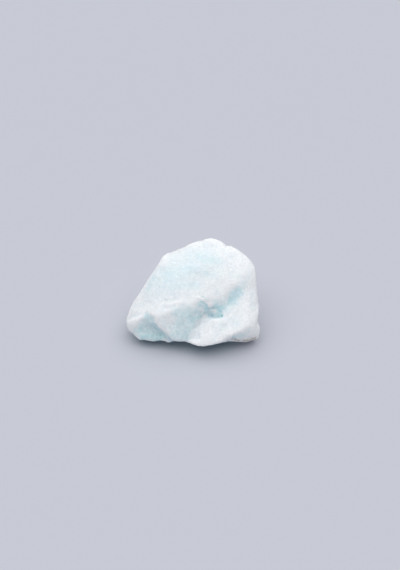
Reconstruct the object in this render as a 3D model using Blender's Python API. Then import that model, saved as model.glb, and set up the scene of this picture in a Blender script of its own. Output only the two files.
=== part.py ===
"""Raw hemimorphite: one broken lump of pale blue massive hemimorphite, lying on its flattest side.

Row frame: metres, +Z up, +X along the lump's length, +Y from its hollowed front to its back.
The origin is on the ground, under the middle of the bounding box.

The lump is modelled in three steps. Convex lumps are joined and hollows are cut out of them, which
gives the big faces, ridges and hollows. That block gets an even skin, which is worn soft along a few
creases and edges, chipped and stepped like broken mineral on its hidden sides, and given a soft
relief. Last, the skin is thinned and set down on a flat foot.
"""

import math

import bmesh
import bpy
import numpy as np
from mathutils import Vector, noise

MM = 0.001

# Corners of the convex lumps that make the stone, in millimetres.
CROWN_CORNERS = {
    "left_rim": [(-24.8, -3.0, 10.0), (-22.5, 0.0, 12.5), (-17.4, 4.0, 17.6), (-13.6, 7.6, 21.8)],
    "back_rim": [(-11.2, 11.5, 25.9), (-8.8, 13.4, 26.9), (-0.9, 16.2, 28.3), (7.2, 18.4, 29.0)],
    "right_rim": [(11.0, 17.4, 28.8), (17.2, 14.0, 27.2), (22.0, 10.8, 24.6), (24.0, 8.5, 22.4)],
    "dome": [(-6.0, 4.0, 23.8), (8.0, 7.0, 25.4)],
    "front_ridge_left": [(-19.0, -7.0, 13.2), (-13.3, -10.4, 14.6), (-8.5, -7.8, 17.0), (-0.9, -7.2, 17.4)],
    "front_ridge_right": [(4.7, -4.8, 18.3), (13.3, -3.2, 19.4), (17.1, -0.6, 20.4), (19.4, 3.0, 21.8)],
    "left_tip": [(-25.8, -5.5, 7.0), (-22.8, -8.8, 4.6), (-23.0, 1.0, 4.0)],
    "back": [(-15.0, 11.5, 11.0), (5.0, 19.5, 13.0), (19.0, 12.5, 10.0), (24.0, 4.0, 9.0)],
    "back_foot": [(-18.0, 3.0, -2.0), (-10.0, 11.0, -2.0), (4.0, 14.0, -2.0), (17.0, 10.0, -2.0)],
    "front_foot": [(-17.0, -5.0, -2.0), (-4.0, -3.0, -2.0), (10.0, -1.0, -2.0), (21.0, 2.0, -2.0)],
}
RIB_CORNERS = {
    "top": [(-13.6, -10.6, 15.0), (-9.0, -9.4, 16.8), (-1.0, -7.8, 16.8)],
    "face": [(-14.6, -11.4, 12.2), (-11.0, -13.4, 10.0), (-7.2, -15.8, 6.7), (-3.4, -15.2, 5.5)],
    "side": [(2.2, -7.4, 12.0)],
    "inside": [(-5.0, -4.0, 15.0), (4.0, -2.0, 14.0), (-9.0, -4.0, -1.0), (2.0, 0.0, -1.0)],
}
LEFT_KNEE_CORNERS = {
    "top": [(-25.8, -7.0, 8.2), (-22.8, -9.0, 11.0), (-18.8, -9.2, 13.2), (-10.0, -13.2, 10.4)],
    "lower_edge": [(-24.8, -8.6, 5.1), (-22.2, -10.4, 4.7), (-20.6, -11.9, 3.6), (-18.6, -12.4, 3.4),
                   (-15.0, -13.0, 4.2), (-8.0, -14.4, 5.0)],
    "inside": [(-14.0, -2.0, 13.0), (-18.0, -4.0, -1.0), (-8.0, -4.0, -1.0)],
}
SHELF_CORNERS = {
    "nose": [(-3.2, -14.6, 5.1), (-1.0, -16.8, 5.8), (0.9, -18.2, 5.7), (5.5, -18.8, 6.2)],
    "lower_edge": [(10.3, -17.6, 7.5), (14.9, -15.8, 9.1), (19.7, -13.6, 10.7), (24.6, -9.7, 9.8)],
    "right_edge": [(25.4, -3.0, 11.2), (24.8, 2.0, 15.4), (23.9, 8.0, 22.2)],
    "top": [(21.5, 6.0, 22.4), (19.0, 1.0, 19.6), (14.9, -4.4, 15.7), (4.7, -4.6, 12.0)],
    "left_flank": [(-0.4, -8.0, 8.4), (-4.2, -12.2, 4.6), (-3.0, -6.0, -1.0)],
    "inside": [(19.0, -4.0, -1.0), (19.0, 2.0, -1.0), (0.0, 3.0, -1.0), (9.0, 1.0, 11.0)],
}
HEEL_CORNERS = {
    "corner": [(25.5, -9.9, 5.8), (25.0, -11.4, 3.4), (24.6, -9.7, 8.6), (24.2, 1.0, 8.0)],
    "upper_edge": [(15.5, -15.2, 8.2), (19.7, -13.4, 9.6)],
    "lower_edge": [(19.7, -14.1, 3.5), (14.9, -14.3, 4.7), (12.0, -15.8, 6.0)],
    "inside": [(22.0, 3.0, -1.0), (15.0, 3.0, 5.0), (15.0, 3.0, -1.0)],
}
LUMPS = {"rib": RIB_CORNERS, "left_knee": LEFT_KNEE_CORNERS, "shelf": SHELF_CORNERS, "heel": HEEL_CORNERS}

# Spindles joined on under the front ridge and at the back: both ends and the radius at the middle.
KNOBS = {
    "brow": ((2.0, -5.6, 14.8), (14.0, -2.9, 17.0), 2.0),
    "back_ridge": ((-13.0, 10.5, 4.0), (19.0, 14.0, 11.0), 4.2),
    "left_knob": ((-20.0, 4.0, 5.0), (-13.0, 12.0, 13.0), 3.0),
}

# Lines along which the skin is worn soft, each with both ends and how far the wear reaches. It works
# in rounds, each of which moves the skin by the pace, and fades over the rim, a share of the reach.
SOFT_LINES = {
    "wall_foot": ((9.0, -5.0, 12.6), (20.0, 1.0, 19.6), 3.4),
    "brow": ((9.0, -4.0, 18.0), (19.0, 1.4, 21.2), 2.6),
    "shelf_edge": ((13.0, -16.0, 8.4), (24.0, -11.0, 10.4), 2.4),
    "crease": ((-2.0, -11.0, 7.6), (5.0, -6.4, 13.0), 2.4),
    "side_seam": ((23.4, 3.2, 2.0), (24.2, 3.2, 10.0), 3.0),
}
SOFT_ROUNDS = 60
SOFT_PACE = 0.5
SOFT_RIM = 0.5

# Spindles cut out, given in the same way.
SCOOPS = {
    "crease": ((-6.0, -13.6, 3.8), (7.2, -4.6, 15.4), 0.6),
    "blue_groove": ((11.6, -7.2, 15.0), (22.4, 0.8, 23.2), 1.0),
    "pocket": ((5.0, -7.0, 12.2), (12.0, -9.4, 13.0), 1.3),
    "rim_nick": ((11.2, 19.5, 30.5), (13.4, 13.5, 27.0), 0.9),
    "back_bite": ((-16.0, 16.0, 14.0), (3.0, 21.5, 9.0), 3.6),
}

# The wedge cut between the left knee and the rib: its rim, and the valley line at its bottom.
NOTCH_RIM = [(-18.6, -8.8, 13.4), (-20.8, -9.4, 10.2), (-21.6, -10.8, 6.2), (-17.4, -13.0, 4.6),
             (-14.6, -11.4, 11.2), (-9.6, -13.8, 7.8), (-6.8, -15.4, 5.6)]
NOTCH_VALLEY = [(-17.8, -8.6, 11.2), (-14.5, -9.0, 8.6), (-11.8, -10.8, 5.6), (-9.2, -14.0, 4.6)]
NOTCH_REACH = 8.0

# The way the hollowed front faces: forwards and up.
FRONT_RISE = math.radians(40.0)
FRONT = Vector((0.0, -math.cos(FRONT_RISE), math.sin(FRONT_RISE)))

VOXEL = 0.5 * MM
EDGE_WEAR = 10
CHIP_WEAR = 3

# How far the skin must turn away from the front before it counts as hidden, and over how much it fades.
HIDDEN_FROM = 0.18
HIDDEN_FADE = 0.4

# Broken facets on the hidden sides.
CHIPS = 60
CHIP_RADIUS = (3.5 * MM, 9.0 * MM)
CHIP_DEPTH = (0.2 * MM, 0.6 * MM)
CHIP_LIMIT = 1.0 * MM
CHIP_TILT = 0.3
CHIP_FACING = 0.2
SEED = 9

# Broken edges of the layers that the lump grew in, which lie level with the crown.
LAYER_NORMAL = Vector((0.05, -0.42, 0.9)).normalized()
LAYER_SPACING = 5.2 * MM
LAYER_HEIGHT = 0.7 * MM
LAYER_SLOPE = 0.75
LAYER_WANDER = 0.6
LAYER_WANDER_SIZE = 8.8 * MM

# Uneven relief over the whole skin: the size of its swellings and their height.
RELIEF = ((9.0 * MM, 0.45 * MM), (4.0 * MM, 0.22 * MM), (1.9 * MM, 0.12 * MM))

TRIANGLES = 9000
FOOT_SNAP = 0.25 * MM

STONE_COLOUR = (0.78, 0.87, 0.90, 1.0)
STONE_ROUGHNESS = 0.7


def clear_scene():
    for thing in list(bpy.data.objects):
        bpy.data.objects.remove(thing, do_unlink=True)


def link(name, mesh):
    thing = bpy.data.objects.new(name, mesh)
    bpy.context.scene.collection.objects.link(thing)
    return thing


def hide(helper):
    helper.hide_render = True
    helper.display_type = "WIRE"


def hull(name, corners):
    """A convex lump through its corners."""
    mesh = bpy.data.meshes.new(name)
    shape = bmesh.new()
    for corner in corners:
        shape.verts.new(Vector(corner) * MM)
    made = bmesh.ops.convex_hull(shape, input=shape.verts)
    inside = [v for v in made["geom_interior"] if isinstance(v, bmesh.types.BMVert)]
    bmesh.ops.delete(shape, geom=inside, context="VERTS")
    bmesh.ops.recalc_face_normals(shape, faces=shape.faces)
    shape.to_mesh(mesh)
    shape.free()
    return link(name, mesh)


def lump(name, groups):
    return hull(name, [corner for group in groups.values() for corner in group])


def notch():
    """A wedge whose sharp edge is the valley line and whose mouth opens to the front."""
    mouth = [Vector(corner) + FRONT * NOTCH_REACH for corner in NOTCH_RIM]
    return hull("notch", NOTCH_VALLEY + NOTCH_RIM + mouth)


def spindle(name, start, end, radius):
    """A long rounded body between two points."""
    mesh = bpy.data.meshes.new(name)
    shape = bmesh.new()
    bmesh.ops.create_icosphere(shape, subdivisions=4, radius=1.0)
    shape.to_mesh(mesh)
    shape.free()
    axis = (Vector(end) - Vector(start)) * MM
    turn = axis.to_track_quat("Z", "Y").to_matrix()
    size = Vector((radius * MM, radius * MM, axis.length / 2))
    centre = Vector(start) * MM + axis / 2
    for vertex in mesh.vertices:
        vertex.co = centre + turn @ (size * vertex.co)
    return link(name, mesh)


def boolean(stone, other, operation):
    step = stone.modifiers.new(other.name, "BOOLEAN")
    step.operation = operation
    step.object = other
    hide(other)


def evaluated(thing):
    graph = bpy.context.evaluated_depsgraph_get()
    return bpy.data.meshes.new_from_object(thing.evaluated_get(graph))


def rough_block():
    """The lumps joined and the hollows cut, still with sharp edges."""
    block = lump("crown", CROWN_CORNERS)
    for name, groups in LUMPS.items():
        boolean(block, lump(name, groups), "UNION")
    for name, values in KNOBS.items():
        boolean(block, spindle(name, *values), "UNION")
    boolean(block, notch(), "DIFFERENCE")
    for name, values in SCOOPS.items():
        boolean(block, spindle(name, *values), "DIFFERENCE")
    return block


def even_skin(thing, passes):
    """The same shape in one even skin, with its edges worn by that many rounds of smoothing."""
    remesh = thing.modifiers.new("Even skin", "REMESH")
    remesh.mode = "VOXEL"
    remesh.voxel_size = VOXEL
    smooth = thing.modifiers.new("Worn edges", "SMOOTH")
    smooth.factor = 0.5
    smooth.iterations = passes
    hide(thing)
    return evaluated(thing)


def read(mesh):
    """The mesh's points and normals, one row each."""
    points = np.empty(len(mesh.vertices) * 3)
    mesh.vertices.foreach_get("co", points)
    normals = np.empty(len(mesh.vertices) * 3)
    mesh.vertex_normals.foreach_get("vector", normals)
    return points.reshape(-1, 3), normals.reshape(-1, 3)


def write(mesh, points):
    mesh.vertices.foreach_set("co", points.ravel())
    mesh.update()


def noise_at(points, size):
    return np.array([noise.noise(Vector(point) / size) for point in points])


def away_from(points, start, end):
    """Each point's distance from a line between two points given in millimetres."""
    start, end = np.array(start) * MM, np.array(end) * MM
    line = end - start
    along = np.clip((points - start) @ line / (line @ line), 0.0, 1.0)
    return np.linalg.norm(points - start - along[:, None] * line, axis=1)


def neighbour_mean(mesh, points):
    """For each point, the mean place of the points it is joined to."""
    pairs = np.empty(len(mesh.edges) * 2, dtype=np.int64)
    mesh.edges.foreach_get("vertices", pairs)
    here = pairs.reshape(-1, 2).ravel()
    there = pairs.reshape(-1, 2)[:, ::-1].ravel()
    count = np.bincount(here, minlength=len(points))
    sums = [np.bincount(here, points[there, axis], len(points)) for axis in range(3)]
    return np.stack(sums, axis=1) / count[:, None]


def soften(mesh):
    """Wears the skin along the soft lines, which fills creases and rounds edges there."""
    points, _ = read(mesh)
    share = np.zeros(len(points))
    for start, end, reach in SOFT_LINES.values():
        near = 1.0 - away_from(points, start, end) / (reach * MM)
        share = np.maximum(share, np.clip(near / SOFT_RIM, 0.0, 1.0))
    for _ in range(SOFT_ROUNDS):
        points += (neighbour_mean(mesh, points) - points) * (SOFT_PACE * share)[:, None]
    write(mesh, points)


def hidden_share(normals):
    """1 where the skin is turned away from the front, 0 where it faces it."""
    away = -(normals @ np.array(FRONT))
    return np.clip((away - HIDDEN_FROM) / HIDDEN_FADE, 0.0, 1.0)


def step_layers(mesh):
    """Ledges on the hidden sides, where the layers of the lump broke off one after the other."""
    points, normals = read(mesh)
    layer = np.array(LAYER_NORMAL)
    wander = LAYER_WANDER * noise_at(points, LAYER_WANDER_SIZE)
    phase = (points @ layer / LAYER_SPACING + wander) % 1.0
    ledge = np.minimum(phase / LAYER_SLOPE, (1.0 - phase) / (1.0 - LAYER_SLOPE))
    share = hidden_share(normals) * (1.0 - np.abs(normals @ layer))
    points += normals * (ledge * share * LAYER_HEIGHT)[:, None]
    write(mesh, points)


def chip_sides(mesh):
    """Flat breaks over the hidden sides, each one a plane pressed into the skin around one point."""
    points, normals = read(mesh)
    hidden = hidden_share(normals)
    choice = np.flatnonzero(hidden > 0.5)
    rng = np.random.default_rng(SEED)
    for _ in range(CHIPS):
        struck = rng.choice(choice)
        facing = normals[struck] + rng.normal(0.0, CHIP_TILT, 3)
        facing /= np.linalg.norm(facing)
        radius = rng.uniform(*CHIP_RADIUS)
        offset = points - points[struck]
        above = np.clip(offset @ facing + rng.uniform(*CHIP_DEPTH), 0.0, CHIP_LIMIT)
        near = np.clip(2.0 - 2.0 * (np.linalg.norm(offset, axis=1) / radius) ** 2, 0.0, 1.0)
        share = near * hidden * (normals @ facing > CHIP_FACING)
        points -= (above * share)[:, None] * facing
    write(mesh, points)


def add_relief(mesh):
    """Soft swellings, from finger-wide ones down to grains."""
    points, normals = read(mesh)
    for size, height in RELIEF:
        points += normals * (noise_at(points, size) * height)[:, None]
    write(mesh, points)


def flatten_foot(mesh):
    """Presses what would be below the ground flat against it."""
    points, _ = read(mesh)
    points[:, 2] = np.where(points[:, 2] < FOOT_SNAP, 0.0, points[:, 2])
    write(mesh, points)


def thinned(mesh):
    """The skin with few triangles where it is smooth and more where it bends."""
    mesh.calc_loop_triangles()
    full = link("full_skin", mesh)
    fewer = full.modifiers.new("Fewer faces", "DECIMATE")
    fewer.ratio = TRIANGLES / len(mesh.loop_triangles)
    hide(full)
    return evaluated(full)


def centre_on_ground(mesh):
    """Puts the origin under the middle of the bounding box."""
    points, _ = read(mesh)
    low, high = points.min(axis=0), points.max(axis=0)
    middle = np.array([(low[0] + high[0]) / 2, (low[1] + high[1]) / 2, low[2]])
    write(mesh, points - middle)


def stone_material():
    material = bpy.data.materials.new("pale_hemimorphite")
    material.use_nodes = True
    shader = material.node_tree.nodes["Principled BSDF"]
    shader.inputs["Base Color"].default_value = STONE_COLOUR
    shader.inputs["Roughness"].default_value = STONE_ROUGHNESS
    shader.inputs["Metallic"].default_value = 0.0
    return material


def main():
    clear_scene()
    skin = even_skin(rough_block(), EDGE_WEAR)
    soften(skin)
    step_layers(skin)
    chip_sides(skin)
    skin = even_skin(link("chipped_skin", skin), CHIP_WEAR)
    add_relief(skin)
    flatten_foot(skin)
    mesh = thinned(skin)
    flatten_foot(mesh)
    centre_on_ground(mesh)
    mesh.materials.append(stone_material())
    mesh.shade_smooth()
    link("hemimorphite_stone", mesh)


if __name__ == "__main__":
    main()
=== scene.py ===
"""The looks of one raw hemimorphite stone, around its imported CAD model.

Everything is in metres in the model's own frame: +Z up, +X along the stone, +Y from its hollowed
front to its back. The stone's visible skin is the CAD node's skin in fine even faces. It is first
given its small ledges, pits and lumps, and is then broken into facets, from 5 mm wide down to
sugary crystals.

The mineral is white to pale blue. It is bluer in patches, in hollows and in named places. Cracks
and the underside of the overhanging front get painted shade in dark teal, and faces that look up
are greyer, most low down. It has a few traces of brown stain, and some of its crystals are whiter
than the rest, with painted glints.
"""

import math

import bmesh
import bpy
import numpy as np
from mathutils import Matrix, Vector, noise
from mathutils.kdtree import KDTree


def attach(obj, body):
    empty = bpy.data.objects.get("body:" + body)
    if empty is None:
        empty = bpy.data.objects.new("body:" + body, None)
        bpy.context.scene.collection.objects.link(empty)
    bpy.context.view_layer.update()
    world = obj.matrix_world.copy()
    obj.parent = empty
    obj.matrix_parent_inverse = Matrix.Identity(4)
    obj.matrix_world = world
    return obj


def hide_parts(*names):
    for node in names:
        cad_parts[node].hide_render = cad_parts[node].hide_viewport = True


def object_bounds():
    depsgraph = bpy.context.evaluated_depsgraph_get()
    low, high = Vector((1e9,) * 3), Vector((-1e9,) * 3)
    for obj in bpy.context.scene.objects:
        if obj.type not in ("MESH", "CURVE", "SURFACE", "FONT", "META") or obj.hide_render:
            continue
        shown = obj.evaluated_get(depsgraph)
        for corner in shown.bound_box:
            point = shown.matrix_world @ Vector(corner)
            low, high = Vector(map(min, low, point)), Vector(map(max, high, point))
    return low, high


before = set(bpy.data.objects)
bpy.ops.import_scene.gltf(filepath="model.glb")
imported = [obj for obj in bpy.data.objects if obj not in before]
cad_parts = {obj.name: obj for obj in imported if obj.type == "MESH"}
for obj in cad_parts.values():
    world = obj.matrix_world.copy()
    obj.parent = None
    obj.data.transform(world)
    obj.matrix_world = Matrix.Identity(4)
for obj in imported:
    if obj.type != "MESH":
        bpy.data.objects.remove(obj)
CAD_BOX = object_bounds()

MM = 0.001
NODE = "hemimorphite_stone"
SEED = 11

# The camera: how far above the horizon it stands, what it looks at, how far off, the height of
# what it sees there, its sensor in millimetres, and how near and how far it sees.
VIEW_RISE = math.radians(40.0)
VIEW_TARGET = Vector((2.7, -0.5, 20.5)) * MM
VIEW_DISTANCE = 0.42
VIEW_HEIGHT = 214.3 * MM
SENSOR = 36.0
NEAREST = 0.01
FARTHEST = 10.0

# The way the hollowed front faces, which is also the way to the camera.
FRONT = Vector((0.0, -math.cos(VIEW_RISE), math.sin(VIEW_RISE)))

# The fine skin: the size of its faces, the rounds of smoothing that rub off the CAD's facets, and
# how near the CAD's corners lie where they are one.
SKIN_FACE = 0.27 * MM
SKIN_WEAR = 7
WELD = 0.001 * MM

# Facets, from broken faces down to grains: the width, the lean, and the share of their depth that
# shows on the smooth front and where the skin is rough.
FACETS = (
    (5.0 * MM, 0.10, 0.12, 0.80),
    (2.4 * MM, 0.12, 0.20, 0.75),
    (1.2 * MM, 0.14, 0.30, 0.65),
    (0.65 * MM, 0.20, 0.42, 0.70),
)

# The most that a facet sinks and rises, in shares of its width. The skin and a facet count as
# agreeing by at least the last number, which keeps the way to a steep facet short.
FACET_SINK = 0.12
FACET_RISE = 0.04
LEAST_AGREEMENT = 0.3

# The skin gets rough where it faces away from the front by this much, and is fully rough past the
# fade, as it is on the hidden sides.
HIDDEN_FROM = 0.1
HIDDEN_FADE = 0.35

# Low down, the front is rough too, up to this share.
ROUGH_BELOW = 12.0 * MM
ROUGH_FADE = 6.0 * MM
ROUGH_SHARE = 0.5

# Where the normals of two points side by side agree less than this, the skin is folded. It is
# evened out over that many steps around such a place, in that many rounds, that many times.
FOLDED_BELOW = 0.2
FOLD_SPREAD = 3
FOLD_ROUNDS = 6
FOLD_TIMES = 4

# Small forms, in millimetres: both ends of a line, the reach around it, and the height.
FORMS = {
    "fold_fill": ((0.6, -7.2, 15.0), (4.8, -6.3, 13.4), 2.0, 1.2),
    "crease_fill": ((2.7, -7.2, 12.6), (-2.0, -13.6, 7.8), 1.8, 0.8),
    "wall_bulge": ((8.8, -6.5, 14.9), (12.0, -6.2, 15.0), 1.6, 0.35),
    "heel_brow": ((14.6, -15.4, 8.9), (21.5, -12.6, 8.4), 2.4, 0.6),
    "heel_ridge": ((14.0, -15.5, 9.0), (21.1, -11.9, 11.2), 0.6, 0.35),
    "heel_crack": ((15.2, -15.6, 7.7), (20.6, -13.3, 8.8), 0.8, -0.5),
    "crest_ridge": ((-9.6, -7.8, 16.9), (-4.4, -7.2, 17.9), 0.8, 0.35),
    "crest_groove": ((-10.8, -6.3, 17.6), (-6.2, -6.2, 18.3), 0.7, -0.2),
    "knee_crest": ((-20.7, -6.4, 12.1), (-16.0, -6.7, 14.9), 0.9, 0.25),
    "hollow_top": ((-17.7, -8.9, 13.1), (-15.8, -10.4, 12.5), 1.2, -0.5),
    "hollow_side": ((-15.2, -11.0, 12.0), (-12.9, -12.5, 9.2), 1.1, -0.3),
    "hollow_fill": ((-15.3, -10.6, 10.2), (-12.6, -11.4, 6.4), 1.5, 0.6),
    "hollow_fold": ((-17.2, -9.9, 9.2), (-13.8, -11.2, 6.2), 1.2, 0.6),
    "ledge_lip": ((1.9, -5.4, 18.7), (3.4, -5.9, 18.1), 0.5, 0.4),
    "ledge_point": ((3.4, -5.9, 18.1), (4.5, -6.0, 17.6), 0.45, 0.3),
    "lip_notch": ((3.5, -5.3, 18.8), (3.9, -5.3, 18.7), 0.35, -0.5),
    "ledge_step": ((3.0, -6.3, 17.4), (5.3, -6.8, 15.7), 0.28, -0.5),
    "lower_step": ((3.0, -6.8, 16.0), (5.0, -6.7, 14.8), 0.3, -0.3),
    "pale_lump": ((6.2, -6.5, 13.7), (8.3, -6.9, 13.1), 0.8, 0.9),
    "lump_rim": ((5.1, -6.8, 15.0), (7.6, -6.4, 14.4), 0.3, -0.35),
    "lump_side": ((7.6, -6.4, 14.4), (10.4, -7.7, 13.4), 0.3, -0.3),
    "pocket_floor": ((6.6, -8.0, 11.7), (10.2, -8.9, 12.3), 1.1, -0.5),
    "pocket_point": ((10.5, -8.9, 12.6), (10.9, -9.1, 12.7), 0.45, -0.5),
    "pocket_lip": ((7.0, -10.2, 11.6), (8.4, -10.6, 11.7), 0.4, 0.35),
    "pocket_lip_end": ((9.2, -10.9, 11.8), (10.8, -9.9, 12.2), 0.4, 0.4),
    "knee_sole": ((-19.5, -12.0, 3.8), (-15.5, -13.0, 3.8), 1.5, 0.3),
    "rib_sole": ((-9.5, -14.2, 4.2), (-7.8, -14.8, 4.4), 0.9, 0.45),
    "nose_gap": ((13.4, -16.1, 6.7), (15.2, -15.6, 6.0), 0.8, -0.6),
    "edge_bump": ((24.6, -6.4, 11.8), (24.6, -5.4, 12.4), 1.1, 0.25),
    "edge_notch": ((24.5, -9.2, 9.7), (24.2, -10.2, 9.0), 0.7, -0.8),
    "rim_notch": ((12.6, 14.4, 27.2), (12.7, 15.4, 26.6), 0.5, -0.5),
    "rim_bump": ((14.4, 14.0, 27.0), (14.8, 14.8, 26.6), 0.7, 0.2),
}

# Places where the mineral is blue, in millimetres: both ends of a line, the reach around it and the
# strength, which is 1 at full blue. Past 1 the place gets painted shade in dark teal, as cracks do,
# which is full at 2.
TINTS = {
    "crown": ((-12.0, 1.0, 21.0), (2.0, 7.0, 25.0), 9.0, 0.36),
    "crown_left": ((-10.0, 3.0, 22.4), (-0.5, 4.7, 24.5), 3.4, 0.45),
    "crown_front": ((-9.3, -1.0, 20.4), (1.0, -1.2, 21.0), 2.4, 0.38),
    "crown_top": ((2.6, 9.1, 26.3), (9.4, 7.6, 25.4), 2.6, 0.45),
    "crown_right": ((5.3, 3.1, 23.4), (7.8, 2.3, 23.0), 1.8, 0.35),
    "left_edge": ((-15.1, 4.2, 20.5), (-16.4, 0.6, 18.2), 1.8, 0.45),
    "left_hollow": ((-15.8, -10.4, 9.6), (-12.2, -12.0, 5.8), 3.4, 0.6),
    "hollow_edge": ((-15.0, -11.3, 10.4), (-10.8, -13.2, 5.6), 1.5, 0.66),
    "hollow_top": ((-17.6, -9.2, 12.9), (-16.4, -10.0, 12.4), 1.2, 0.6),
    "knee_sole": ((-19.0, -12.0, 4.2), (-12.3, -13.3, 4.6), 1.6, 1.1),
    "knee_foot": ((-20.0, -11.3, 6.2), (-13.1, -13.1, 5.0), 2.6, 0.72),
    "mid_face": ((-5.6, -10.4, 15.2), (1.2, -8.1, 13.9), 2.8, 0.5),
    "mid_low": ((-6.4, -14.2, 8.8), (-2.4, -11.1, 13.0), 3.6, 0.52),
    "rib": ((-10.8, -12.4, 12.0), (-8.4, -14.6, 8.4), 2.4, 0.3),
    "crease": ((2.3, -8.0, 11.6), (-0.7, -10.3, 12.2), 1.6, 0.95),
    "crease_arm": ((1.3, -7.8, 13.4), (6.0, -6.6, 13.0), 1.6, 0.75),
    "crease_low": ((0.1, -10.2, 10.5), (-3.3, -14.3, 7.6), 2.4, 0.55),
    "under_lip": ((2.8, -6.8, 16.0), (5.8, -6.5, 14.2), 1.4, 0.8),
    "ledge_step": ((3.0, -6.3, 17.4), (5.3, -6.8, 15.7), 0.28, 1.25),
    "lump_rim": ((5.1, -6.8, 15.0), (7.6, -6.4, 14.4), 0.35, 1.1),
    "lump_side": ((7.6, -6.4, 14.4), (10.4, -7.7, 13.4), 0.35, 1.3),
    "lip_notch": ((3.5, -5.3, 18.8), (3.9, -5.3, 18.7), 0.35, 0.6),
    "above_lump": ((8.6, -6.4, 15.4), (11.4, -7.0, 14.2), 1.3, 0.8),
    "wall": ((8.8, -5.6, 16.6), (11.3, -5.2, 16.8), 2.2, 0.4),
    "pocket": ((6.6, -7.8, 11.8), (10.2, -8.9, 12.2), 1.4, 0.85),
    "pocket_point": ((10.5, -8.9, 12.6), (10.9, -9.1, 12.7), 0.45, 1.3),
    "groove": ((14.4, -4.6, 16.0), (17.2, -2.4, 18.0), 2.0, 0.75),
    "groove_end": ((17.4, -1.8, 18.6), (19.4, 1.0, 20.6), 1.8, 0.28),
    "groove_foot": ((11.6, -6.8, 14.4), (14.7, -5.6, 15.4), 2.6, 0.5),
    "heel_crack": ((15.2, -15.6, 7.4), (18.6, -14.4, 7.8), 1.1, 0.4),
    "rib_foot": ((-8.6, -15.4, 6.2), (-2.9, -15.1, 5.8), 2.6, 0.7),
}

# Places that stay paler inside the blue, in the same terms. The strength is the share of those
# tints that they take away.
PALES = {
    "lump": ((6.2, -6.5, 13.7), (8.3, -6.9, 13.1), 1.0, 0.6),
    "ledge_lip": ((1.9, -5.4, 18.7), (4.5, -6.0, 17.6), 0.7, 0.6),
    "brow": ((5.6, -4.4, 18.2), (10.4, -4.4, 18.0), 1.6, 0.6),
    "pocket_rim": ((6.4, -9.6, 11.4), (10.8, -9.9, 12.2), 0.5, 0.5),
}

# Traces of brown iron stain, in the same terms, with a strength of 1 at full stain.
STAINS = {
    "heel_slit": ((15.8, -15.3, 5.9), (17.2, -14.8, 5.0), 0.6, 0.7),
    "heel_rim": ((19.4, -14.2, 4.6), (23.4, -12.4, 4.2), 0.8, 0.8),
    "right_rim": ((23.4, 8.1, 22.2), (24.2, 3.5, 19.2), 0.4, 0.5),
    "back_foot": ((-6.0, 14.7, 1.5), (8.0, 15.7, 1.2), 2.0, 0.6),
}

# The borders of all those places wander in waves of two sizes, each as high as a share of the
# place's reach, or of the wide reach in millimetres where that is less. Where places overlap, they
# blend, and the strongest shows most.
WANDER = ((5.0 * MM, 0.45), (1.6 * MM, 0.3))
WIDE_REACH = 3.0
BLEND = 3.0

# A hollow or a crest shows in how far the skin moves when it is evened out over that many rounds.
# In a full hollow it moves by the depth.
HOLLOW_ROUNDS = 105
HOLLOW_DEPTH = 0.5 * MM

# Painted shade in dark teal under the overhanging front: how far down the skin has to face there,
# with its normals evened out over that many rounds, and where it fades out at the top, back and
# right.
UNDER_ROUNDS = 26
UNDER_FROM = 0.15
UNDER_FULL = 0.75
UNDER_TOP = 9.0 * MM
UNDER_BACK = 4.0 * MM
UNDER_RIGHT = 19.0 * MM
UNDER_FADE = 5.0 * MM

# How far up the skin has to face to turn greyer, and how much less grey it gets at the top.
UP_GREY_FROM = 0.3
UP_GREY_FULL = 0.9
UP_GREY_THINS = 0.55

# The colours: white crystals, the two blues, the dark teal of painted shade in cracks and under the
# overhanging front, brown stain, the grey of faces that look up, and the whitest crystals with
# their painted glints.
WHITE = (0.925, 0.936, 0.96, 1.0)
BLUE = (0.575, 0.81, 0.885, 1.0)
AQUA = (0.595, 0.84, 0.875, 1.0)
TEAL_SHADE = (0.20, 0.46, 0.52, 1.0)
STAIN = (0.36, 0.27, 0.17, 1.0)
UP_GREY = (0.60, 0.61, 0.64, 1.0)
WHITE_GLINT = (0.99, 0.995, 1.0, 1.0)

# The mineral's own blue: in patches of that size and in hollows, each up to a share of full blue.
# Where a named place is bluer, it shows instead. A fine mottle varies all of it, and crests lose
# some. A span is the stretch of a value over which it takes effect.
PATCH_SIZE = 4.5 * MM
PATCH_DETAIL = 5.0
PATCH_ROUGHNESS = 0.6
PATCH_SPAN = (0.42, 0.68)
PATCH_BLUE = 0.22
HOLLOW_BLUE = 0.2
MOTTLE_SIZE = 1.3 * MM
MOTTLE_DETAIL = 4.0
MOTTLE_SPAN = (0.3, 0.7)
MOTTLE_SHARE = (0.7, 1.15)
CREST_SPAN = (-1.0, -0.2)
CREST_WHITE = 0.35

# The drift from one blue to the other, and the tints that turn to the dark teal of painted shade.
HUE_SIZE = 4.0 * MM
HUE_DETAIL = 2.0
HUE_SPAN = (0.4, 0.6)
CRACK_SHADE_SPAN = (1.0, 2.0)

# How much of the colour the painted teal shade under the front, the grey of faces that look up,
# stain, and the whiter crystals with painted glints cover. The teal shade is uneven, as the patches
# are, and only the few finest facets past the span get the whiter white and its painted glint.
UNDER_SPAN = (0.35, 0.65)
UNDER_SHARE = (0.6, 1.0)
UP_GREY_SHARE = 0.28
STAIN_SHARE = 0.7
WHITE_GLINT_SPAN = (0.94, 0.95)
WHITE_GLINT_SHARE = 0.35

# The grain: the size and the bumps of its cells, how much the finest facets and the cells count
# for its tone, how dark and bright that makes the colour, and how dull the facets are.
GRAIN_SIZE = 0.42 * MM
GRAIN_HEIGHT = 0.035 * MM
GRAIN_STRENGTH = 0.6
FACET_TONE = 0.6
CELL_TONE = 0.8
TONE_SPAN = (0.1, 1.3)
TONE_SHARE = (0.88, 1.03)
GRAIN_ROUGHNESS = (0.38, 0.75)

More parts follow.
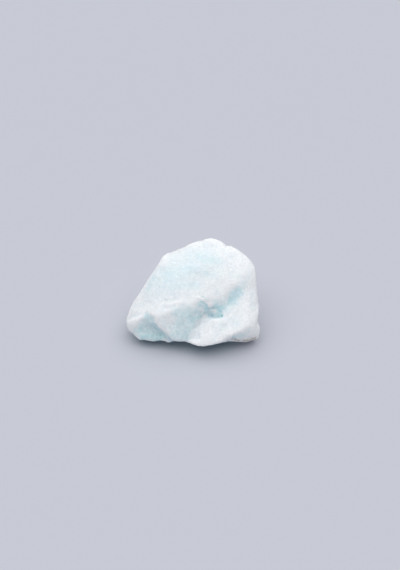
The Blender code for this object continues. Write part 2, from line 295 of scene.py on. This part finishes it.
# All light that enters the mineral scatters inside it, about that far in every colour. The last
# number is how strongly the mineral bends it.
SCATTER = 1.0
SCATTER_REACH = (1.0, 1.0, 1.0)
SCATTER_SCALE = 4.0 * MM
REFRACTION = 1.5

# The floor is a plain pale card. A pale sky lights it all round, and a very wide sun from above
# and a little from behind.
FLOOR_SIZE = 1.6
FLOOR_COLOUR = (0.51, 0.52, 0.578, 1.0)
FLOOR_ROUGHNESS = 0.9
SKY_COLOUR = (0.93, 0.97, 1.0, 1.0)
SKY_STRENGTH = 0.36
SUN_STRENGTH = 2.5
SUN_SPREAD = math.radians(95.0)
SUN_FROM = Vector((-0.03, 0.1, 1.0))


def read(mesh):
    """The mesh's points and normals, one row each."""
    points = np.empty(len(mesh.vertices) * 3)
    mesh.vertices.foreach_get("co", points)
    normals = np.empty(len(mesh.vertices) * 3)
    mesh.vertex_normals.foreach_get("vector", normals)
    return points.reshape(-1, 3), normals.reshape(-1, 3)


def write(mesh, points):
    """Moves the mesh's points there."""
    mesh.vertices.foreach_set("co", points.ravel())
    mesh.update()


def link(name, data):
    """A new object of that mesh, lamp or camera in the scene."""
    thing = bpy.data.objects.new(name, data)
    bpy.context.scene.collection.objects.link(thing)
    return thing


def fine_skin(node):
    """A copy of the node's skin in small even faces."""
    mesh = node.data.copy()
    shape = bmesh.new()
    shape.from_mesh(mesh)
    bmesh.ops.remove_doubles(shape, verts=shape.verts, dist=WELD)
    shape.to_mesh(mesh)
    shape.free()
    coarse = link("coarse_skin", mesh)
    remesh = coarse.modifiers.new("Even skin", "REMESH")
    remesh.mode = "VOXEL"
    remesh.voxel_size = SKIN_FACE
    smooth = coarse.modifiers.new("Worn facets", "SMOOTH")
    smooth.iterations = SKIN_WEAR
    graph = bpy.context.evaluated_depsgraph_get()
    fine = bpy.data.meshes.new_from_object(coarse.evaluated_get(graph))
    bpy.data.objects.remove(coarse)
    fine.materials.clear()
    return fine


def away_from(points, start, end):
    """Each point's distance from a line between two points given in millimetres."""
    start, end = np.array(start) * MM, np.array(end) * MM
    line = end - start
    along = np.clip((points - start) @ line / (line @ line), 0.0, 1.0)
    return np.linalg.norm(points - start - along[:, None] * line, axis=1)


def press_forms(mesh):
    """Raises and presses in the small forms, all from the skin as it was before them."""
    points, normals = read(mesh)
    height = np.zeros(len(points))
    for start, end, reach, top in FORMS.values():
        height += top * MM * np.exp(-((away_from(points, start, end) / (reach * MM)) ** 2))
    write(mesh, points + normals * height[:, None])


def fade(values, start, full):
    """0 up to the start, 1 from full on, and even steps between."""
    return np.clip((values - start) / (full - start), 0.0, 1.0)


def roughness(points, normals):
    """1 where the skin is turned away from the front, 0 high up on the front."""
    hidden = fade(-(normals @ np.array(FRONT)), HIDDEN_FROM, HIDDEN_FROM + HIDDEN_FADE)
    low = fade(points[:, 2], ROUGH_BELOW, ROUGH_BELOW - ROUGH_FADE)
    return np.maximum(hidden, ROUGH_SHARE * low)


def nearest(points, centres):
    """The number of the nearest centre for each point."""
    tree = KDTree(len(centres))
    for number, centre in enumerate(centres):
        tree.insert(centre, number)
    tree.balance()
    return np.array([tree.find(point)[1] for point in points])


def facet(mesh, width, lean, smooth_depth, rough_depth, area, rng):
    """Breaks the skin into leaning facets of about that width, and returns each point's facet."""
    points, normals = read(mesh)
    struck = rng.choice(len(points), int(area / width ** 2), replace=False)
    owner = nearest(points, points[struck])
    facing = normals[struck] + rng.normal(0.0, lean, (len(struck), 3))
    facing /= np.linalg.norm(facing, axis=1)[:, None]
    face = facing[owner]
    lift = ((points[struck][owner] - points) * face).sum(axis=1)
    lift /= np.maximum((normals * face).sum(axis=1), LEAST_AGREEMENT)
    lift = np.clip(lift, -FACET_SINK * width, FACET_RISE * width)
    depth = smooth_depth + (rough_depth - smooth_depth) * roughness(points, normals)
    write(mesh, points + normals * (lift * depth)[:, None])
    return owner


def neighbours(mesh):
    """Both points of each edge, from one end and from the other."""
    pairs = np.empty(len(mesh.edges) * 2, dtype=np.int64)
    mesh.edges.foreach_get("vertices", pairs)
    pairs = pairs.reshape(-1, 2)
    return np.concatenate([pairs[:, 0], pairs[:, 1]]), np.concatenate([pairs[:, 1], pairs[:, 0]])


def relaxed(mesh, values, rounds):
    """The values, averaged again and again with those of the points next to them."""
    here, there = neighbours(mesh)
    count = np.bincount(here, minlength=len(values))[:, None]
    for _ in range(rounds):
        sums = [np.bincount(here, column[there], len(values)) for column in values.T]
        values = (values + np.stack(sums, axis=1) / count) / 2
    return values


def unfold(mesh):
    """Evens out the few spots where the facets fold the skin over itself."""
    here, there = neighbours(mesh)
    for _ in range(FOLD_TIMES):
        points, normals = read(mesh)
        folded = np.zeros((len(points), 1))
        folded[here[(normals[here] * normals[there]).sum(axis=1) < FOLDED_BELOW]] = 1.0
        near = relaxed(mesh, folded, FOLD_SPREAD) > 0.0
        write(mesh, np.where(near, relaxed(mesh, points, FOLD_ROUNDS), points))


def hollows(mesh, points, normals):
    """How deep each point lies in a hollow, from -1 on a crest to 1 in a pit."""
    soft = relaxed(mesh, points, HOLLOW_ROUNDS)
    return np.clip(((soft - points) * normals).sum(axis=1) / HOLLOW_DEPTH, -1.0, 1.0)


def under_front_shade(mesh, points, normals):
    """1 under the overhanging front, close to the ground, where painted shade goes, and 0
    elsewhere.
    """
    down = fade(-relaxed(mesh, normals, UNDER_ROUNDS)[:, 2], UNDER_FROM, UNDER_FULL)
    low = fade(points[:, 2], UNDER_TOP, UNDER_TOP - UNDER_FADE)
    front = fade(points[:, 1], UNDER_BACK, UNDER_BACK - UNDER_FADE)
    left = fade(points[:, 0], UNDER_RIGHT, UNDER_RIGHT - UNDER_FADE)
    return down * low * front * left


def up_grey(points, normals):
    """How much greyer each point is: most on low faces that look up."""
    height = points[:, 2] / points[:, 2].max()
    return (1.0 - UP_GREY_THINS * height) * fade(normals[:, 2], UP_GREY_FROM, UP_GREY_FULL)


def waves(points, size):
    """Smooth random waves of that size at the points."""
    return np.array([noise.noise(Vector(point) / size) for point in points])


def places(points, wander, table):
    """How strongly the table's places show at each point, with soft and wandering borders."""
    found = np.zeros(len(points))
    for start, end, reach, strength in table.values():
        shift = wander * min(reach, WIDE_REACH) * MM
        distance = np.maximum(away_from(points, start, end) + shift, 0.0) / (reach * MM)
        found += (strength * np.exp(-(distance ** 2))) ** BLEND
    return found ** (1.0 / BLEND)


def keep(mesh, name, values):
    """Stores one number a point on the mesh, for the material to read."""
    mesh.attributes.new(name, "FLOAT", "POINT").data.foreach_set("value", values.astype(np.float32))


def shape_skin(mesh, rng):
    """Gives the skin its forms and facets, and returns each point's finest facet."""
    area = sum(face.area for face in mesh.polygons)
    press_forms(mesh)
    for sizes in FACETS:
        grain = facet(mesh, *sizes, area, rng)
    unfold(mesh)
    points, _ = read(mesh)
    write(mesh, np.clip(points, np.array(CAD_BOX[0]), np.array(CAD_BOX[1])))
    return grain


def mark_skin(mesh, plain, grain, rng):
    """Stores all that the material reads. The named places are looked up at the points of the plain
    skin, as it was before its forms and facets."""
    points, normals = read(mesh)
    wander = sum(waves(plain, size) * share for size, share in WANDER)
    keep(mesh, "hollow", hollows(mesh, points, normals))
    keep(mesh, "tint", places(plain, wander, TINTS) * (1.0 - places(plain, wander, PALES)))
    keep(mesh, "stain", places(plain, wander, STAINS))
    # Where painted shade in dark teal goes, under the overhanging front.
    keep(mesh, "under", under_front_shade(mesh, points, normals))
    # Greyer on faces that look up, most low down.
    keep(mesh, "up_grey_share", up_grey(points, normals))
    keep(mesh, "grain", rng.random(grain.max() + 1)[grain])


def stone_mesh(node):
    """The stone's skin, shaped and marked."""
    rng = np.random.default_rng(SEED)
    mesh = fine_skin(node)
    plain, _ = read(mesh)
    grain = shape_skin(mesh, rng)
    mark_skin(mesh, plain, grain, rng)
    mesh.shade_smooth()
    return mesh


class Nodes:
    """A material's node tree, with short calls to add to it."""

    def __init__(self, material):
        material.use_nodes = True
        self.tree = material.node_tree
        self.shader = self.tree.nodes["Principled BSDF"]
        self.where = self.add("ShaderNodeTexCoord").outputs["Object"]

    def add(self, kind, **settings):
        """A new node of that kind, with those settings."""
        node = self.tree.nodes.new(kind)
        for name, value in settings.items():
            setattr(node, name, value)
        return node

    def fill(self, socket, value):
        """Joins an output to the socket, or sets the socket to a plain value."""
        if isinstance(value, bpy.types.NodeSocket):
            self.tree.links.new(value, socket)
        else:
            socket.default_value = value

    def attribute(self, name):
        """The number that each point of the mesh stores under that name."""
        return self.add("ShaderNodeAttribute", attribute_name=name).outputs["Fac"]

    def texture(self, kind, size, **values):
        """A 3-D pattern whose cells are about that size."""
        node = self.add(kind)
        for name, value in {"Vector": self.where, "Scale": 1.0 / size, **values}.items():
            self.fill(node.inputs[name], value)
        return node

    def noise(self, size, **values):
        """A cloudy pattern between 0 and 1."""
        return self.texture("ShaderNodeTexNoise", size, **values).outputs["Fac"]

    def ramp(self, value, span=(0.0, 1.0), to=(0.0, 1.0)):
        """The value stretched from the span to the other, and held at its ends."""
        node = self.add("ShaderNodeMapRange", clamp=True)
        for name, number in zip(("From Min", "From Max", "To Min", "To Max"), (*span, *to)):
            node.inputs[name].default_value = number
        self.fill(node.inputs["Value"], value)
        return node.outputs["Result"]

    def maths(self, operation, first, second):
        """What the operation makes of two values."""
        node = self.add("ShaderNodeMath", operation=operation)
        self.fill(node.inputs[0], first)
        self.fill(node.inputs[1], second)
        return node.outputs["Value"]

    def mix(self, share, first, second):
        """The first colour, with that share of the second."""
        node = self.add("ShaderNodeMix", data_type="RGBA")
        for name, value in (("Factor", share), ("A", first), ("B", second)):
            self.fill(next(s for s in node.inputs if s.name == name and s.enabled), value)
        return next(s for s in node.outputs if s.enabled)


def mineral_blue(nodes, patches, tint):
    """How blue the mineral is: 0 is white and 1 is full blue."""
    hollow = nodes.attribute("hollow")
    cloud = nodes.ramp(patches, PATCH_SPAN, (0.0, PATCH_BLUE))
    depth = nodes.ramp(hollow, to=(0.0, HOLLOW_BLUE))
    blue = nodes.maths("MAXIMUM", nodes.maths("ADD", cloud, depth), tint)
    mottle = nodes.ramp(nodes.noise(MOTTLE_SIZE, Detail=MOTTLE_DETAIL), MOTTLE_SPAN, MOTTLE_SHARE)
    crest = nodes.ramp(hollow, CREST_SPAN, (CREST_WHITE, 0.0))
    return nodes.maths("SUBTRACT", nodes.maths("MULTIPLY", blue, mottle), crest)


def mineral_colour(nodes, grain):
    """The mineral's colour before its grain, with painted shade in dark teal and painted glints."""
    patches = nodes.noise(PATCH_SIZE, Detail=PATCH_DETAIL, Roughness=PATCH_ROUGHNESS)
    drift = nodes.ramp(nodes.noise(HUE_SIZE, Detail=HUE_DETAIL), HUE_SPAN)
    tint = nodes.attribute("tint")
    blue = nodes.ramp(mineral_blue(nodes, patches, tint))
    colour = nodes.mix(blue, WHITE, nodes.mix(drift, BLUE, AQUA))
    uneven = nodes.ramp(patches, UNDER_SPAN, UNDER_SHARE)
    covers = (
        # Painted shade in dark teal where a tint passes 1, as in cracks.
        (nodes.ramp(tint, CRACK_SHADE_SPAN), TEAL_SHADE),
        # Painted shade in dark teal under the overhanging front, uneven as the patches are.
        (nodes.maths("MULTIPLY", uneven, nodes.attribute("under")), TEAL_SHADE),
        # Greyer on faces that look up, most low down.
        (nodes.ramp(nodes.attribute("up_grey_share"), to=(0.0, UP_GREY_SHARE)), UP_GREY),
        (nodes.ramp(nodes.attribute("stain"), to=(0.0, STAIN_SHARE)), STAIN),
        # Whiter crystals, with a painted glint in place of their sparkle.
        (nodes.ramp(grain, WHITE_GLINT_SPAN, (0.0, WHITE_GLINT_SHARE)), WHITE_GLINT),
    )
    for share, cover in covers:
        colour = nodes.mix(share, colour, cover)
    return colour


def stone_material():
    """Sugary hemimorphite: each facet has its own tone and gloss, and finer crystals are bumps."""
    material = bpy.data.materials.new("sugary_hemimorphite")
    nodes = Nodes(material)
    shader = nodes.shader
    grain = nodes.attribute("grain")
    cells = nodes.texture("ShaderNodeTexVoronoi", GRAIN_SIZE)

    facet_tone = nodes.ramp(grain, to=(0.0, FACET_TONE))
    cell_tone = nodes.ramp(cells.outputs["Color"], to=(0.0, CELL_TONE))
    tone = nodes.ramp(nodes.maths("ADD", facet_tone, cell_tone), TONE_SPAN, TONE_SHARE)
    toned = nodes.add("ShaderNodeVectorMath", operation="SCALE")
    nodes.fill(toned.inputs[0], mineral_colour(nodes, grain))
    nodes.fill(toned.inputs["Scale"], tone)
    nodes.fill(shader.inputs["Base Color"], toned.outputs["Vector"])

    bump = nodes.add("ShaderNodeBump")
    bump.inputs["Strength"].default_value = GRAIN_STRENGTH
    bump.inputs["Distance"].default_value = GRAIN_HEIGHT
    nodes.fill(bump.inputs["Height"], cells.outputs["Distance"])
    nodes.fill(shader.inputs["Normal"], bump.outputs["Normal"])
    nodes.fill(shader.inputs["Roughness"], nodes.ramp(grain, to=GRAIN_ROUGHNESS))

    shader.inputs["Subsurface Weight"].default_value = SCATTER
    shader.inputs["Subsurface Radius"].default_value = SCATTER_REACH
    shader.inputs["Subsurface Scale"].default_value = SCATTER_SCALE
    shader.inputs["IOR"].default_value = REFRACTION
    return material


def make_stone(node):
    """The stone's visible skin, in the place of its CAD node."""
    mesh = stone_mesh(node)
    mesh.materials.append(stone_material())
    stone = link("raw_hemimorphite", mesh)
    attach(stone, "root")
    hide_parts(NODE)


def make_floor():
    """A wide flat card under the stone."""
    mesh = bpy.data.meshes.new("floor")
    half = FLOOR_SIZE / 2
    corners = [(-half, -half, 0.0), (half, -half, 0.0), (half, half, 0.0), (-half, half, 0.0)]
    mesh.from_pydata(corners, [], [(0, 1, 2, 3)])
    floor = link("floor", mesh)
    material = bpy.data.materials.new("pale_card")
    material.use_nodes = True
    shader = material.node_tree.nodes["Principled BSDF"]
    shader.inputs["Base Color"].default_value = FLOOR_COLOUR
    shader.inputs["Roughness"].default_value = FLOOR_ROUGHNESS
    shader.inputs["Specular IOR Level"].default_value = 0.0
    mesh.materials.append(material)


def make_light():
    """A pale sky all round, and a wide soft light from overhead."""
    world = bpy.data.worlds.new("soft_sky")
    world.use_nodes = True
    sky = world.node_tree.nodes["Background"]
    sky.inputs["Color"].default_value = SKY_COLOUR
    sky.inputs["Strength"].default_value = SKY_STRENGTH
    bpy.context.scene.world = world
    light = bpy.data.lights.new("overhead_softbox", "SUN")
    light.energy = SUN_STRENGTH
    light.angle = SUN_SPREAD
    lamp = link("overhead_softbox", light)
    lamp.rotation_euler = SUN_FROM.to_track_quat("Z", "Y").to_euler()


def make_camera():
    """A camera that looks down on the hollowed front."""
    lens = bpy.data.cameras.new("camera")
    lens.sensor_width = SENSOR
    lens.lens = SENSOR * VIEW_DISTANCE / VIEW_HEIGHT
    lens.clip_start = NEAREST
    lens.clip_end = FARTHEST
    camera = link("camera", lens)
    camera.location = VIEW_TARGET + FRONT * VIEW_DISTANCE
    camera.rotation_euler = FRONT.to_track_quat("Z", "Y").to_euler()
    bpy.context.scene.camera = camera


make_stone(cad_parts[NODE])
make_floor()
make_light()
make_camera()
bpy.context.scene.view_settings.view_transform = "Standard"
